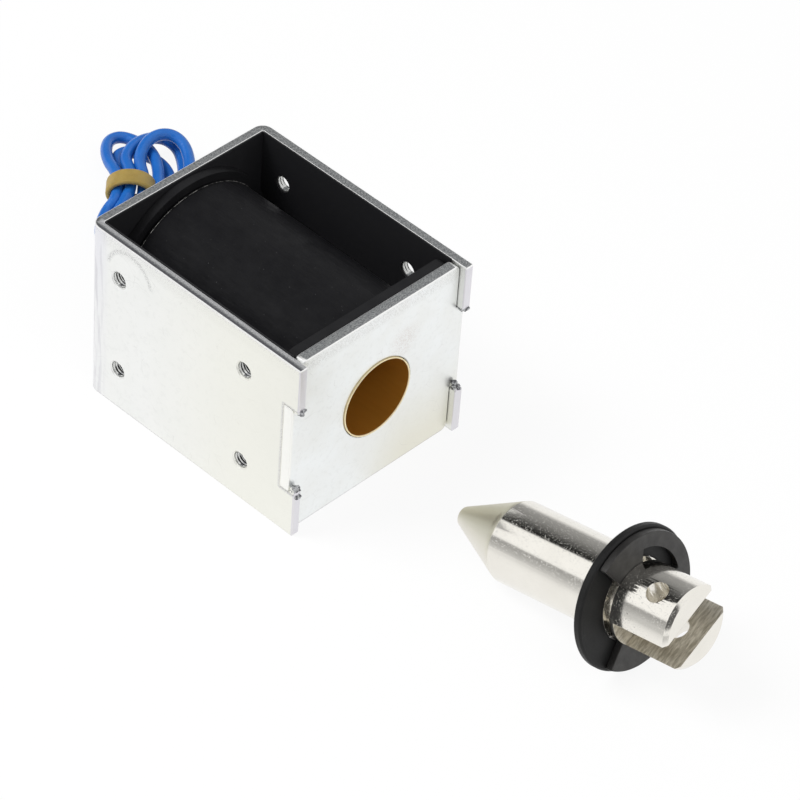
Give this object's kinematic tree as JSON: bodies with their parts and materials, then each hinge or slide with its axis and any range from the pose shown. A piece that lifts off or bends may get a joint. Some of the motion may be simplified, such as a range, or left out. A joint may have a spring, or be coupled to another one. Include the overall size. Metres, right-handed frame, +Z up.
{
  "type": "push pull solenoid",
  "caption": "Open-frame push pull solenoid: bent steel frame around a taped coil, conical plunger with a slotted, cross-bored clevis end, and two flying leads.",
  "frame": {"origin": "middle of the front plate's lower edge, straight under the bore's axis", "axes": "+X along the bore, out of the front plate; +Z up; +Y to the side where the leads leave"},
  "size_m": [0.1499, 0.0501, 0.033],
  "materials": {
    "zinc_sheet": "bright zinc plated steel sheet",
    "brass_tube": "drawn brass",
    "pole_steel": "turned steel, zinc plated",
    "bobbin_plastic": "black moulded nylon",
    "copper_wire": null,
    "coil_tape": "black cloth tape",
    "liner_sheet": "black insulating sheet",
    "blue_pvc": "blue PVC insulation",
    "shrink_tube": "black shrink sleeve",
    "solder": "solder",
    "tan_rubber": "tan rubber",
    "nickel_plunger": "nickel plated steel",
    "ring_black": "blackened spring steel",
    "washer_black": "black nylon"
  },
  "bodies": {
    "frame": {"frame_shell": "zinc_sheet", "front_plate": "zinc_sheet", "guide_tube": "brass_tube", "pole_piece": "pole_steel", "insulation_liner": "liner_sheet", "bobbin": "bobbin_plastic", "coil_winding": "copper_wire", "coil_wrap": "coil_tape", "lead_1": "blue_pvc", "lead_2": "blue_pvc", "solder_joint_1": "solder", "joint_sleeve_1": "shrink_tube", "solder_joint_2": "solder", "joint_sleeve_2": "shrink_tube", "lead_hank": "blue_pvc", "hank_band": "tan_rubber"},
    "plunger": {"plunger_core": "nickel_plunger", "retaining_ring": "ring_black"},
    "washer": {"stop_washer": "washer_black"}
  },
  "joints": [
    {"name": "plunger_slide", "type": "slide", "parent": "frame", "child": "plunger", "axis": [1, 0, 0], "range_m": [-0.015, 0.015]},
    {"name": "washer_spin", "type": "hinge", "parent": "plunger", "child": "washer", "pos_m": [0.05159, 0.0013, 0.01121], "axis": [0.9759, 0, 0.2183], "continuous": true}
  ]
}
